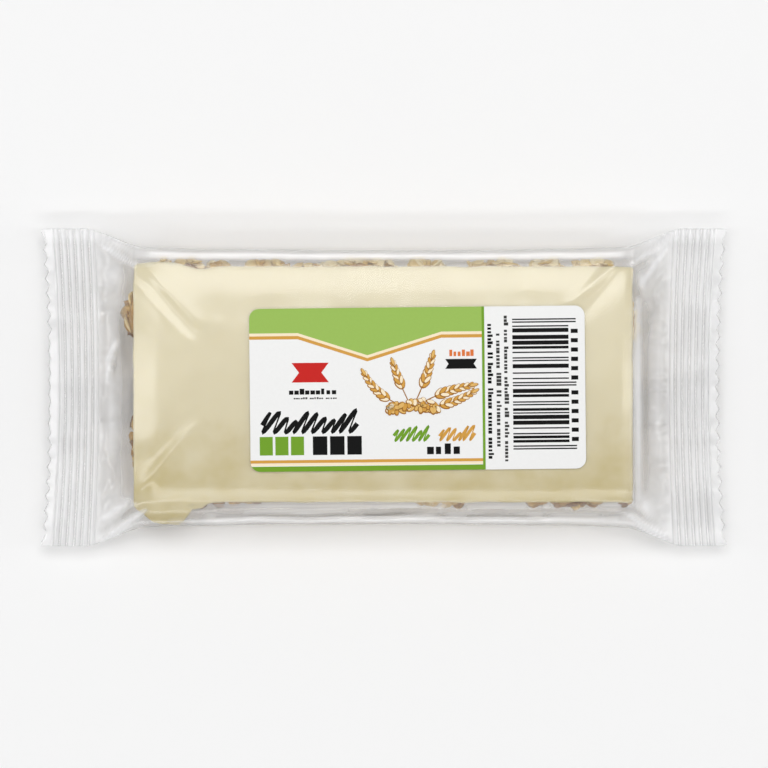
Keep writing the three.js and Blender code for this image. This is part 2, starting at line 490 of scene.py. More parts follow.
def makeOatFlakes(material):
    rng = random.Random(flakes["seed"])
    bm = bmesh.new()
    bm.verts.layers.float.new("tone")
    blank = flakeBlank()
    up = Vector((0, 0, 1))
    spans = {"far": (bar["left"], bar["right"]), "near": (bar["left"], bar["right"]),
             "left": (bar["near"], bar["far"]), "right": (bar["near"], bar["far"])}
    weights = [end - start for start, end in spans.values()]
    for _ in range(flakes["sides"]):
        side = rng.choices(list(spans), weights)[0]
        start, end = spans[side]
        length = rng.uniform(*flakes["length"]) * flakes["sideLength"]
        edgeOn = rng.random() < flakes["edgeOn"]
        at = rng.uniform(start + flakes["cornerGap"], end - flakes["cornerGap"])
        centre = sidePoint(side, at, rng.uniform(*flakes["heights"]),
                           rng.uniform(*flakes["out"]) - flakes["edgeOnSunk"] * length * edgeOn)
        outward = (up + 0.3 * outwards[side]).normalized() if edgeOn else outwards[side]
        addFlake(bm, blank, rng, centre, outward, length, flakes["tilt"],
                 rng.uniform(*flakes["shade"]))
    for _ in range(flakes["under"]):
        gap = flakes["underGap"]
        centre = Vector((rng.uniform(bar["left"] + gap, bar["right"] - gap),
                         rng.uniform(bar["near"] + gap, bar["far"] - gap), bar["bottom"] + 0.25))
        addFlake(bm, blank, rng, centre, Vector((0, 0, -1)), rng.uniform(*flakes["length"]),
                 flakes["underTilt"], rng.uniform(*flakes["shade"]))
    lumps = [(side, *lump) for side in oatLumps for lump in oatLumps[side]]
    for side, start, end, _, pale in lumps:
        for _ in range(round((end - start) * lumpFlakes["perMm"]) + 1):
            at = rng.uniform(start + lumpFlakes["endGap"], end - lumpFlakes["endGap"])
            centre = sidePoint(side, at, rng.uniform(*lumpFlakes["heights"][side]),
                               rng.uniform(*lumpFlakes["out"]) - lumpFlakes["back"][side])
            outward = (outwards[side] + rng.uniform(*lumpFlakes["upward"]) * up).normalized()
            # pale carries painted light and shade as well as the oats' own tone
            addFlake(bm, blank, rng, centre, outward, rng.uniform(*lumpFlakes["length"]),
                     lumpFlakes["tilt"], pale + rng.uniform(*lumpFlakes["shade"]))
    bpy.data.meshes.remove(blank)
    for vert in bm.verts:
        vert.co = tuckIn(vert.co)
    finishPiece("oatFlakes", bm, [material], mergeGap=0.00001)


coating = {
    "cell": 1.05, "edgeRound": 0.6, "middle": 0.8, "halfWidth": 25.2,
    "waver": 0.22,  # of its sides
    "swell": 0.05,  # of its faces
    "skirt": 0.9,  # how much of it hangs at the rim, and how far down
    "runFrom": 4.2,  # how far in from the near edge it starts to run over
    "runFull": 0.2,  # and where it does so fully
    "runFall": (0.2, 0.035),  # how it falls there, with its reach and with the square of that
    "runHang": 0.25, "farFrom": 4.0,
}
# The run-over at one corner, as (x, how far past the edge), in millimetres
runOver = [(-54.4, 0.7), (-51.6, 2.8), (-50.0, 4.3), (-48.0, 4.8), (-44.2, 4.9), (-43.0, 4.0),
           (-41.4, 1.6), (-39.4, 1.4), (-37.6, 0.0)]
farWaver = [(-54.6, 0.5), (-50.0, 1.0), (-45.0, 0.9), (-42.4, 0.1), (-40.0, -0.6), (-36.0, 0.0)]


def makeCoating(material):
    low = Vector((bar["left"], bar["near"], bar["coatBottom"]))
    high = Vector((bar["right"], bar["far"], bar["top"]))
    bm = boxGrid(low, high, coating["cell"])
    corners = [e for e in bm.edges if e.calc_face_angle(0) > 1]
    bmesh.ops.bevel(bm, geom=corners, offset=coating["edgeRound"], segments=4, profile=0.5,
                    affect="EDGES", material=-1, clamp_overlap=True)
    for vert in bm.verts:
        x, y, z = vert.co
        running = smoothStep(bar["near"] + coating["runFrom"], bar["near"] + coating["runFull"], y)
        push = alongLine(runOver, x) * running
        fall, steeper = coating["runFall"]
        farEdge = smoothStep(bar["far"] - coating["farFrom"], bar["far"], y)
        vert.co.y += alongLine(farWaver, x) * farEdge
        edgeX = smoothStep(0.9, 1.0, abs(x) / bar["right"])
        edgeY = smoothStep(0.8, 1.0, abs(y - coating["middle"]) / coating["halfWidth"])
        vert.co.x += coating["waver"] * wobble(y * 0.22, 4.0) * edgeX
        vert.co.y += coating["waver"] * wobble(x * 0.2, 8.0) * edgeY - push
        vert.co.z -= edgeFall(x, y) + (fall * push + steeper * push * push) * running
        if z < bar["coatBottom"] + coating["skirt"]:
            hang = 0.5 + 0.5 * wobble(x * 0.21, y * 0.21, 2.0)
            vert.co.z -= coating["skirt"] * hang + coating["runHang"] * push
        vert.co.z += coating["swell"] * wobble(x * 0.12, y * 0.12, 5.0)
    finishPiece("yogurtCoating", bm, [material])


# The film pouch round the bar

pouch = {
    "halfLength": pouchHigh.x + 0.25, "halfAcross": pouchHigh.y, "top": pouchHigh.z - 0.04,
    "bottom": 0.34,  # of the film, above the folded fin
    "play": 0.2,  # between the film and what it holds
    "barHalf": 54.1, "sideReach": 29.6, "sideFlare": 0.75, "flareFrom": 52.6, "flareTo": 64.2,
    "neckEnd": 62.5, "crimpEnd": 72.0, "layer": 6.4, "droop": 0.9,
    "filmGap": 0.3,  # between the outer faces of the sealed ends
    "innerBow": 0.9, "lipBow": 1.6,
    "foldAtSeal": 31.4,  # where the corner fold meets the seal
    "sealFrom": 1.6,  # how far before the seal its film starts to be pressed together
    "slumpTop": 1.85,  # how steeply the film falls off the bar's ends, above
    "slumpUnder": 0.8,  # and below
    "sideTight": 0.85,  # how closely it rounds the bar's long edges
    "sideWaver": 0.16,
}


def pressAt(x):  # how far the film is pressed flat, from 0 over the bar to 1 in the seal
    return shareFrom(pouch["barHalf"], pouch["neckEnd"], abs(x))


# The ribs pressed across the ends: their crests stay milky, and the grooves between are fused
# clear. The milky crests are partly a painted highlight, and the darkening on the ribs' flanks is
# painted shade
ribs = {
    "count": 6, "pitch": 1.583, "height": 0.42,
    "dip": 0.14,  # a fine groove along each crest
    "dipAt": 0.46, "dipWidth": 0.11,
    "milkAndPaintedLight": {-1: 0.66, 1: 0.52},  # at each end
    "dipClear": 0.55, "grooveClear": 0.36, "paintedCreaseShade": 0.24,
}
# How milky each lip is along its length, as (y, amount)
lipMilk = {
    -1: [(-34.8, 0.4), (-33.0, 0.38), (-31.0, 0.2), (-19.0, 0.18), (-14.0, 0.5), (10.0, 0.5),
         (14.0, 0.25), (25.0, 0.2), (27.0, 0.42), (34.8, 0.42)],
    1: [(-34.8, 0.2), (-31.0, 0.35), (-24.0, 0.35), (-21.0, 0.12), (-7.0, 0.12), (-5.0, 0.4),
        (7.0, 0.38), (10.0, 0.15), (14.0, 0.38), (18.0, 0.35), (21.0, 0.2), (34.8, 0.22)],
}
teeth = {"count": 22, "depth": 0.85, "bluntFrom": -9.7, "bluntTo": 11.3, "blunt": 0.45}
filmGrid = {"bodyStep": 0.68, "neckStep": 0.42, "perRib": 8, "lipSteps": 7, "perTooth": 6}

# Folds in the top film, as (x, y, x, y, half width, height in millimetres, how much they whiten).
# Their whitening is partly film whitened by the fold and partly a painted highlight, and below zero
# it is painted shade along the fold
topFolds = [
    (-53.4, 25.2, -41.4, 12.2, 1.6, -0.34, 0), (-52.2, 26.2, -39.8, 13.8, 1.4, 0.26, 0),
    (-55.0, 23.4, -42.6, 11.0, 1.2, 0.14, 0), (-53.2, -23.6, -41.0, -8.4, 1.25, 0.46, 0),
    (50.2, 26.4, 40.2, 18.2, 1.0, 0.42, 0),
    (51.0, 24.4, 43.0, 16.0, 1.6, -0.2, 0),
    # from the bar's corners out to the seal on the left, and what lies between
    (-53.9, 26.3, -61.6, 31.4, 0.5, 0.5, 0.7), (-60.4, 25.0, -57.6, 23.6, 1.7, 0.2, 0.4),
    (-57.6, 16.0, -56.0, 5.0, 1.2, -0.25, -0.45), (-58.6, 9.8, -60.4, 6.2, 0.7, 0.5, 0.8),
    (-60.4, 6.2, -60.6, 1.8, 0.55, 0.4, 0.7), (-59.8, 0.5, -59.6, -14.0, 1.1, 0.2, 0.3),
    (-55.4, 4.0, -55.6, -10.0, 0.8, -0.1, 0.1), (-55.0, -24.6, -61.8, -28.6, 0.9, 0.4, 0.65),
    (-54.6, -26.4, -62.0, -31.4, 0.45, -0.1, -0.35), (-51.4, -26.8, -62.6, -34.0, 0.5, 0.5, 0.8),
    (-57.4, -12.0, -58.8, -21.0, 1.0, -0.2, -0.3), (-57.9, 8.4, -59.0, 3.0, 0.55, -0.1, -0.45),
    # and on the right
    (53.6, 26.8, 62.0, 32.2, 0.5, 0.5, 0.7), (55.6, 22.3, 62.2, 31.4, 0.7, 0.4, 0.7),
    (55.2, 24.6, 56.2, 20.6, 1.2, 0.2, 0.55), (59.5, 20.4, 57.5, 13.0, 1.3, -0.2, -0.3),
    (54.7, 18.5, 54.8, -24.0, 0.9, 0.1, 0.95), (57.0, 16.0, 56.9, -22.0, 0.8, -0.1, -0.2),
    (60.2, 12.0, 59.6, -14.0, 1.2, 0.12, 0.25), (56.0, -24.2, 57.0, -27.2, 1.3, 0.2, 0.7),
    (52.4, -27.8, 62.6, -32.8, 0.5, 0.5, 0.7), (54.4, -27.2, 61.0, -29.8, 0.5, -0.1, -0.3),
    # along the sides
    (-50.0, 28.4, 51.0, 28.3, 0.7, 0.0, 0.3), (-36.0, -27.7, 4.0, -27.4, 0.42, -0.2, -0.7),
    (-4.0, -27.3, 52.0, -27.8, 0.4, -0.2, -0.7), (-46.0, -28.7, 50.0, -28.6, 0.4, 0.1, 0.35),
    (-38.0, -26.0, 50.0, -25.8, 0.7, 0.1, 0.2), (-30.0, -26.9, -8.0, -26.7, 0.3, 0.0, 0.35),
]


def foldAt(x, y, folds):  # how much the folds lift the film at a place, and how much they whiten it, partly as a painted highlight; a fold with a negative amount lays painted shade instead
    lift, white = 0.0, 0.0
    for x0, y0, x1, y1, width, height, paintedSheenAndShade in folds:
        dx, dy = x1 - x0, y1 - y0
        share = clamp01(((x - x0) * dx + (y - y0) * dy) / (dx * dx + dy * dy))
        gap = math.hypot(x - x0 - share * dx, y - y0 - share * dy)
        if gap < 3 * width:  # a fold is strongest along its middle and fades towards its ends
            strength = math.sin(math.pi * mix(0.12, 0.88, share)) ** 0.6
            strength *= math.exp(-((gap / width) ** 1.5))
            lift += height * strength
            white += paintedSheenAndShade * strength
    return lift, white


# The film's slope, in degrees, along its way from a long edge of the bar down to the side's middle
sideSlopes = {
    1: [(0.0, 4), (0.06, 20), (0.13, 26), (0.2, 11), (0.29, 7), (0.33, 16), (0.38, 60), (0.44, 86),
        (1.0, 90)],
    -1: [(0.0, 10), (0.05, 17), (0.2, 18), (0.25, 42), (0.33, 44), (0.37, 18), (0.43, 14),
         (0.47, 50), (0.52, 86), (1.0, 90)],
}


def walkDown(slopes, steps=70):
    out, down = [0.0], [0.0]
    for i in range(steps):
        angle = math.radians(alongLine(slopes, (i + 0.5) / steps))
        out.append(out[-1] + math.cos(angle))
        down.append(down[-1] + math.sin(angle))
    return [(o / out[-1], d / down[-1]) for o, d in zip(out, down)]


sideWalks = {side: walkDown(slopes) for side, slopes in sideSlopes.items()}


def walkAt(side, share):
    steps = sideWalks[side]
    place = clamp01(share) * (len(steps) - 1)
    i = min(int(place), len(steps) - 2)
    (o0, d0), (o1, d1) = steps[i], steps[i + 1]
    return mix(o0, o1, place - i), mix(d0, d1, place - i)


# How milky the film is, from 0 where it is clear to 1, beside what the ribs, lips and folds add.
# Beside the film's own haze it carries painted light: highlights, and white laid over shade
hazeAndPaintedLight = {
    "bar": 0.02,  # over the bar
    # in the necks partly the haze of creased film and partly painted light lifting the bar's shadow
    # seen through
    "neck": 0.3,
    "seal": 0.12,  # more than in the necks
    "under": 0.12,
    "loose": 0.34,  # beside the bar, where it touches neither the coating nor the oats; partly haze and partly painted light lifting the shade seen through
    "looseFrom": {-1: 1.2, 1: 0.9},  # mm past the bar's edge, on the near side and the far one
    "looseRise": 1.5,
    "paintedGlintLine": {-1: 0.2, 1: 0.3},  # a painted highlight along the widest part of each side
    # The glint line, the far rim, the line along the near edge and the ridges are painted light:
    # highlights, and white laid over shade
    "glintAt": 0.44, "glintWidth": 0.05, "farRimPaintedLight": 0.16, "paintedNearHighlight": 0.3, "paintedNearHighlightAt": 0.6,
    "paintedNearHighlightWidth": 0.5, "ridges": 0.16, "lipClear": 0.24, "most": 0.85,
}
# How uneven the film is, in millimetres, coarse and then fine where there are two
uneven = {
    "necks": 1.9,  # the creased film between the bar and the seals: these scale with it
    "crumple": (0.9, 0.35), "ridges": 1.3, "neckUnder": 0.5, "over": (0.05, 0.03),
    "under": 0.12, "ends": (0.6, 0.05),
}


def filmPoint(x, across, isTop):
    # across runs from -1 at the near side fold to 1 at the far one
    away, end = abs(x), (1 if x > 0 else -1)
    side = 1 if across >= 0 else -1
    press = pressAt(x)
    sealed = smoothStep(pouch["neckEnd"] - pouch["sealFrom"], pouch["neckEnd"], away)
    outward = shareFrom(pouch["neckEnd"], pouch["halfLength"], away)
    flare = shareFrom(pouch["flareFrom"], pouch["flareTo"], away)
    flare = mix(flare, smoothStep(0, 1, flare), 0.4)
    bulge = pouch["sideReach"] + pouch["sideFlare"] * min(1, away / pouch["barHalf"]) ** 2
    bulge += pouch["sideWaver"] * wobble(x * 0.06, side * 3.0) * (1 - flare)
    reach = mix(bulge, pouch["halfAcross"], flare)
    slump = 1 - (1 - press) ** pouch["slumpTop"] if isTop else press ** pouch["slumpUnder"]
    layer = pouch["layer"] - pouch["droop"] * outward
    topZ = mix(pouch["top"], layer + pouch["filmGap"] / 2, slump)
    bottomZ = mix(pouch["bottom"], layer - pouch["filmGap"] / 2, slump)
    edge = bar["far"] if side > 0 else -bar["near"]
    flat = mix(edge, pouch["foldAtSeal"], press)
    halfHeight = (topZ - bottomZ) / 2
    quarter = mix(pouch["sideTight"], 1.0, press) * (reach - flat + halfHeight)
    walked = abs(across) * (flat + quarter)
    sideShare = clamp01((walked - flat) / quarter)
    if walked <= flat:
        out, down = 0.0, 0.0
        y = side * walked
    else:
        if isTop:
            meander = 0.035 * wobble(x * 0.07, side * 5.0) + 0.02 * wobble(x * 0.2, side * 9.0)
            out, down = walkAt(side, sideShare + meander * 4 * sideShare * (1 - sideShare))
        else:
            out, down = math.sin(sideShare * math.pi / 2), 1 - math.cos(sideShare * math.pi / 2)
        y = side * (flat + (reach - flat) * out)
    rise = halfHeight * (1 - down)
    z = (topZ + bottomZ) / 2 + (rise if isTop else -rise)
    neckMilk = hazeAndPaintedLight["neck"] + hazeAndPaintedLight["seal"] * sealed if isTop else hazeAndPaintedLight["under"]
    milkAndPaintedLight = hazeAndPaintedLight["bar"] + neckMilk * smoothStep(0.1, 0.5, press)
    if isTop:
        touching = clamp01(alongLine(runOver, x) / 3) if side < 0 else 0.0
        held = clamp01(lumpReach("far" if side > 0 else "near", x))  # out, by the oats' lumps
        start = flat + hazeAndPaintedLight["looseFrom"][side]
        loose = smoothStep(start, start + hazeAndPaintedLight["looseRise"], walked)
        loose *= (1 - smoothStep(0.42, 0.52, sideShare)) * (1 - sealed) * (1 - 0.9 * touching)
        # a painted highlight: a bright line along the widest part of each side
        paintedGlintLine = bell(sideShare, hazeAndPaintedLight["glintAt"], hazeAndPaintedLight["glintWidth"]) * (1 - sealed)
        milkAndPaintedLight += hazeAndPaintedLight["loose"] * loose + hazeAndPaintedLight["paintedGlintLine"][side] * paintedGlintLine
        if side > 0:
            # painted light: the film just past the far edge is whitened to lift the shade in the
            # gap there, less over the oats' lumps
            rim = smoothStep(flat - 0.3, flat + 0.5, walked) * (1 - loose)
            milkAndPaintedLight += hazeAndPaintedLight["farRimPaintedLight"] * rim * (1 - 0.6 * held)
        else:
            # a painted highlight along the near edge, where the film bends over the bar
            paintedEdgeHighlight = bell(walked, flat + hazeAndPaintedLight["paintedNearHighlightAt"], hazeAndPaintedLight["paintedNearHighlightWidth"])
            paintedEdgeHighlight *= (1 - press) ** 3 * (1 - touching)
            milkAndPaintedLight += hazeAndPaintedLight["paintedNearHighlight"] * paintedEdgeHighlight * (1 - 0.75 * held)
    # crease is painted shade: it dims the clear film on the ribs' flanks, along dark folds and in
    # the crumples' hollows
    paintedCreaseShade = 0.0
    phase = (away - pouch["neckEnd"]) / ribs["pitch"]
    if 0 < phase < ribs["count"]:
        wave = 0.5 - 0.5 * math.cos(2 * math.pi * phase)
        faint = 0.5 + 0.9 * wobble(y * 0.09, math.floor(phase) * 3.1, end)
        dip = bell(phase % 1, ribs["dipAt"], ribs["dipWidth"]) * clamp01(faint)
        z += ribs["height"] * (wave - 0.5) - ribs["dip"] * dip
        milkAndPaintedLight += ribs["milkAndPaintedLight"][end] * (wave ** 0.6 - ribs["dipClear"] * dip) - ribs["grooveClear"]
        paintedCreaseShade += ribs["paintedCreaseShade"] * abs(math.sin(2 * math.pi * phase)) ** 1.5 * clamp01(faint + 0.3)
    elif phase >= ribs["count"]:
        milkAndPaintedLight += alongLine(lipMilk[end], y) - hazeAndPaintedLight["lipClear"]
    coarse, fine = uneven["ends"]
    z += sealed * (0.3 + 0.7 * outward) * (
        coarse * wobble(end * 5.0, y * 0.085) + fine * wobble(end * 9.0, y * 0.25))
    creased = uneven["necks"] * press**0.7 * (1 - press) ** 0.6
    inside = 1 - clamp01(abs(y) / reach) ** 6
    if isTop:
        coarse, fine = uneven["crumple"]
        crumple = coarse * wobble(x * 0.1, y * 0.12, end * 3.0)
        crumple += fine * wobble(x * 0.25, y * 0.33, 7.0)
        ridged = 0.5 - abs(wobble(x * 0.07 + 3 * wobble(x * 0.1, y * 0.1), y * 0.2, end * 6.0))
        z += creased * inside * (crumple + uneven["ridges"] * ridged)
        # white is partly whitened film and partly painted highlight, and it is painted shade where
        # it is below zero
        lift, white = foldAt(x, y + 0.5 * wobble(x * 0.09, 31.0), topFolds)
        z += lift * (1 - sealed)
        if side < 0:
            white *= 1 - 0.7 * held
        # a painted highlight along the crumples' crests in the necks
        paintedRidgeHighlight = hazeAndPaintedLight["ridges"] * creased * max(0.0, ridged)
        milkAndPaintedLight += (max(0.4 * white, white) + paintedRidgeHighlight) * (1 - sealed)
        paintedCreaseShade += (max(0.0, -white) + 0.09 * creased * max(0.0, 0.2 - ridged)) * (1 - sealed)
        z -= (1 - press) ** 3 * edgeFall(x, y) * (1 - down)
        coarse, fine = uneven["over"]
        ripple = coarse * wobble(x * 0.09, y * 0.2, 1.0) + fine * wobble(x * 0.35, y * 0.3, 2.0)
        z += ripple * (1 - sealed)
    else:
        z += creased * inside * uneven["neckUnder"] * abs(wobble(x * 0.2, y * 0.3, 11.0 + end))
        z += uneven["under"] * abs(wobble(x * 0.12, y * 0.25, 13.0)) * (1 - press)
    # the pull of the tight film draws the ends in at their middle
    inner = pouch["innerBow"]
    bow = inner * press if press < 1 else mix(inner, pouch["lipBow"], outward)
    bow *= 1 - (y / pouch["halfAcross"]) ** 2
    return Vector((x - end * bow, y, z)), min(hazeAndPaintedLight["most"], max(0.0, milkAndPaintedLight)), clamp01(paintedCreaseShade)


def filmStations():  # where the film's rows of points stand, from one lip to the other
    body, neck, crimp, lip = (
        pouch[place] for place in ("barHalf", "neckEnd", "crimpEnd", "halfLength"))
    stretches = [(0, body, round(body / filmGrid["bodyStep"])),
                 (body, neck, round((neck - body) / filmGrid["neckStep"])),
                 (neck, crimp, ribs["count"] * filmGrid["perRib"]),
                 (crimp, lip, filmGrid["lipSteps"])]
    half = [start + (end - start) * i / steps
            for start, end, steps in stretches for i in range(steps)]
    half.append(lip)
    return [-x for x in reversed(half[1:])] + half


def sawCut(x, y, column):  # how far the saw has cut a lip's point back between two teeth
    share = shareFrom(pouch["crimpEnd"], pouch["halfLength"], abs(x))
    place = column % filmGrid["perTooth"] / filmGrid["perTooth"]
    isBlunt = x < 0 and teeth["bluntFrom"] < y < teeth["bluntTo"]
    return share * teeth["depth"] * (teeth["blunt"] if isBlunt else 1) * abs(place - 0.5) * 2


def rowOf(vert, stations):  # the station for a point of a grid that runs from -1 to 1
    return stations[round((vert.co.x + 1) / 2 * (len(stations) - 1))]


def makeFilm(material):
    stations = filmStations()
    perLayer = teeth["count"] * filmGrid["perTooth"]
    bm = bmesh.new()
    bmesh.ops.create_grid(bm, x_segments=len(stations) - 1, y_segments=2 * perLayer, size=1)
    milkAndPaintedLight, paintedCreaseShade = bm.verts.layers.float.new("milkAndPaintedLight"), bm.verts.layers.float.new("paintedCreaseShade")
    for vert in bm.verts:
        x = rowOf(vert, stations)
        ring = round((vert.co.y + 1) * perLayer)
        isTop = ring <= perLayer
        column = ring if isTop else 2 * perLayer - ring
        point, vert[milkAndPaintedLight], vert[paintedCreaseShade] = filmPoint(x, column / perLayer * 2 - 1, isTop)
        point.x -= math.copysign(sawCut(x, point.y, column), x)
        if abs(x) > pouch["halfLength"] - 0.001:  # both layers end in one edge
            other = filmPoint(x, column / perLayer * 2 - 1, not isTop)[0]
            point.z = (point.z + other.z) / 2
        vert.co = point
    finishPiece("clearFilm", bm, [material], stands=["wrapper"], mergeGap=0.002)


fin = {
    "width": 11.0, "centre": -3.5, "thick": 0.24, "rows": 30, "ribs": 8, "ribHeight": 0.05,
    "milkAndPaintedLight": 0.12, "ribMilk": 0.2,
    "clearFrom": 51.0,  # its milk fades out under the bar's ends
    "clearTo": 54.0,
    "endGap": 1.2,  # how far it ends before the lips
    "filmHalf": (32.4, 34.4),  # how wide half the film is, under the bar and in the seal
    "gap": 0.02, "lowest": 0.005,
}


def makeFinSeal(material):  # the film's lengthwise seam, folded flat under the pouch
    stations = [x for x in filmStations() if abs(x) < pouch["halfLength"] - fin["endGap"]]
    bm = bmesh.new()
    bmesh.ops.create_grid(bm, x_segments=len(stations) - 1, y_segments=fin["rows"], size=1)
    milkAndPaintedLight = bm.verts.layers.float.new("milkAndPaintedLight")
    for vert in bm.verts:
        x = rowOf(vert, stations)
        share = (vert.co.y + 1) / 2
        across = fin["centre"] + (share - 0.5) * fin["width"]
        total = mix(*fin["filmHalf"], pressAt(x))
        point = filmPoint(x, across / total, False)[0]
        ridge = 0.5 - 0.5 * math.cos(2 * math.pi * fin["ribs"] * share)
        vert.co = Vector((point.x, across, point.z - fin["gap"] - fin["ribHeight"] * ridge))
        fade = smoothStep(fin["clearTo"], fin["clearFrom"], abs(x))
        vert[milkAndPaintedLight] = (fin["milkAndPaintedLight"] + fin["ribMilk"] * ridge) * fade
    lower = bmesh.ops.extrude_face_region(bm, geom=bm.faces[:], use_keep_orig=True)["geom"]
    for vert in [v for v in lower if isinstance(v, bmesh.types.BMVert)]:
        vert.co.z = max(vert.co.z - fin["thick"], fin["lowest"])
    finishPiece("finSeal", bm, [material], mergeGap=0.0001)


# The printed label

labelSizes = {"length": 72.0, "width": 35.0, "corner": 2.1, "thick": 0.14, "turn": 0.62,
              "ink": 0.008, "inkSunk": 0.004, "strips": 20}
labelMiddle = (labelLow + labelHigh) / 2
labelTurn = Matrix.Translation((labelMiddle.x, labelMiddle.y, labelLow.z))
labelTurn = labelTurn @ Matrix.Rotation(math.radians(labelSizes["turn"]), 4, "Z")
inkFrom = labelSizes["thick"] - labelSizes["inkSunk"]  # inks start just inside the paper


def layOnFilm(bm):
    # cuts a flat sheet into strips, lets it follow the film's crown and puts it in place
    for i in range(1, labelSizes["strips"]):
        height = labelSizes["width"] * (i / labelSizes["strips"] - 0.5)
        bmesh.ops.bisect_plane(bm, geom=bm.verts[:] + bm.edges[:] + bm.faces[:], dist=0.00001,
                               plane_co=(0, height, 0), plane_no=(0, 1, 0))
    middleY = (bar["near"] + bar["far"]) / 2 - labelMiddle.y
    for vert in bm.verts:
        vert.co.z -= bar["crown"] * ((vert.co.y - middleY) / (bar["far"] - bar["near"]) * 2) ** 2
    bmesh.ops.transform(bm, matrix=labelTurn, verts=bm.verts)


def makeLabel(material):
    bm = bmesh.new()
    bmesh.ops.create_cube(bm, size=1)
    size = Vector((labelSizes["length"], labelSizes["width"], labelSizes["thick"]))
    bmesh.ops.scale(bm, vec=size, verts=bm.verts)
    bmesh.ops.translate(bm, vec=(0, 0, labelSizes["thick"] / 2), verts=bm.verts)
    upright = [e for e in bm.edges if abs((e.verts[0].co - e.verts[1].co).z) > 0.01]
    bmesh.ops.bevel(bm, geom=upright, offset=labelSizes["corner"], segments=10, profile=0.5,
                    affect="EDGES", material=-1)
    layOnFilm(bm)
    finishPiece("labelPaper", bm, [material], stands=["label"], smooth=False)


inks = {
    "leafGreen": "#98BA5A", "deepGreen": "#6F9C2A", "gold": "#CF9A46", "cream": "#F3E3C4",
    "black": "#060606", "grey": "#3A3A38", "red": "#C4231F", "orange": "#D8743A",
    "bran": "#9C6A2C", "straw": "#DDB266",
}


def raiseInk(bm, faces, ink, level):  # turns flat faces into a thin closed film of ink
    for face in faces:
        face.material_index = list(inks).index(ink)
    lifted = bmesh.ops.extrude_face_region(bm, geom=faces, use_keep_orig=True)["geom"]
    upper = [item for item in lifted if isinstance(item, bmesh.types.BMVert)]
    bmesh.ops.translate(bm, vec=(0, 0, labelSizes["ink"] * level), verts=upper)


def facesOf(verts):
    return list({face for vert in verts for face in vert.link_faces})


def inkShape(bm, ink, points, level=1):
    face = bm.faces.new([bm.verts.new((x, y, inkFrom)) for x, y in points])
    raiseInk(bm, [face], ink, level)


def inkBar(bm, ink, x0, y0, x1, y1):
    place = Matrix.Translation(((x0 + x1) / 2, (y0 + y1) / 2, inkFrom))
    place = place @ Matrix.Diagonal((x1 - x0, y1 - y0, 1, 1))
    made = bmesh.ops.create_grid(bm, x_segments=1, y_segments=1, size=0.5, matrix=place)["verts"]
    raiseInk(bm, facesOf(made), ink, 1)


def inkOval(bm, ink, x, y, length, width, degrees, level):
    place = Matrix.Translation((x, y, inkFrom)) @ Matrix.Rotation(math.radians(degrees), 4, "Z")
    place = place @ Matrix.Diagonal((length, width, 1, 1))
    made = bmesh.ops.create_circle(bm, cap_ends=True, segments=14, radius=0.5, matrix=place)
    raiseInk(bm, facesOf(made["verts"]), ink, level)


def inkStroke(bm, ink, points, weights):  # a pen stroke along points, as wide as the weights say
    steps = len(points) - 1
    made = bmesh.ops.create_grid(bm, x_segments=steps, y_segments=1, size=1)["verts"]
    for vert in made:
        i = round((vert.co.x + 1) / 2 * steps)
        (x0, y0), (x1, y1) = points[max(0, i - 1)], points[min(steps, i + 1)]
        aside = vert.co.y * weights[i] / 2 / math.hypot(x1 - x0, y1 - y0)
        vert.co = (points[i][0] - (y1 - y0) * aside, points[i][1] + (x1 - x0) * aside, inkFrom)
    raiseInk(bm, facesOf(made), ink, 1)


def inkScrawl(bm, ink, x, y, length, height, strokes, pen):
    # one pen stroke, to and fro
    points, weights = [], []
    steps = strokes * 12
    for i in range(steps + 1):
        share = i / steps
        turn = share * strokes * math.pi * 2
        swing = math.sin(turn)
        tall = height * (0.62 + 0.38 * wobble(share * strokes * 0.9, x))
        lean = 0.28 * tall * swing
        points.append((x + length * share + lean, y + tall * (0.5 + 0.5 * swing)))
        weights.append(pen * (0.65 + 0.35 * math.cos(turn)))  # thick downwards, thin upwards
    inkStroke(bm, ink, points, weights)


def pointFrom(x, y, angle, reach):
    return x + reach * math.cos(angle), y + reach * math.sin(angle)


# Colour fields of the label, in millimetres from its middle
fields = {
    "top": 17.5, "bottom": -17.5, "left": -36.0, "corner": 2.1, "divider": 13.9,
    "dividerWidth": 0.56, "bandLow": 12.2,
    "dip": [(-25.6, 0.0), (-10.7, 4.9), (5.2, 0.0)],  # where the band's edge dips, and how far
    "creamLine": 0.62, "goldLine": 0.7, "footGold": -15.05, "footGoldWidth": 0.66,
    "footGreen": -16.4,
    "footGap": (0.1, 0.06, 0.12),  # round the cream line: at its left, above and below
}


def bandEdge(drop):  # the lower edge of the green field, let down by some millimetres
    places = [(fields["left"], 0.0), *fields["dip"], (fields["divider"], 0.0)]
    return [(x, fields["bandLow"] - dip - drop) for x, dip in places]


def cornerArc(x, y, start, steps=6):
    turns = [math.radians(start + 90 * i / steps) for i in range(steps + 1)]
    return [pointFrom(x, y, turn, fields["corner"]) for turn in turns]


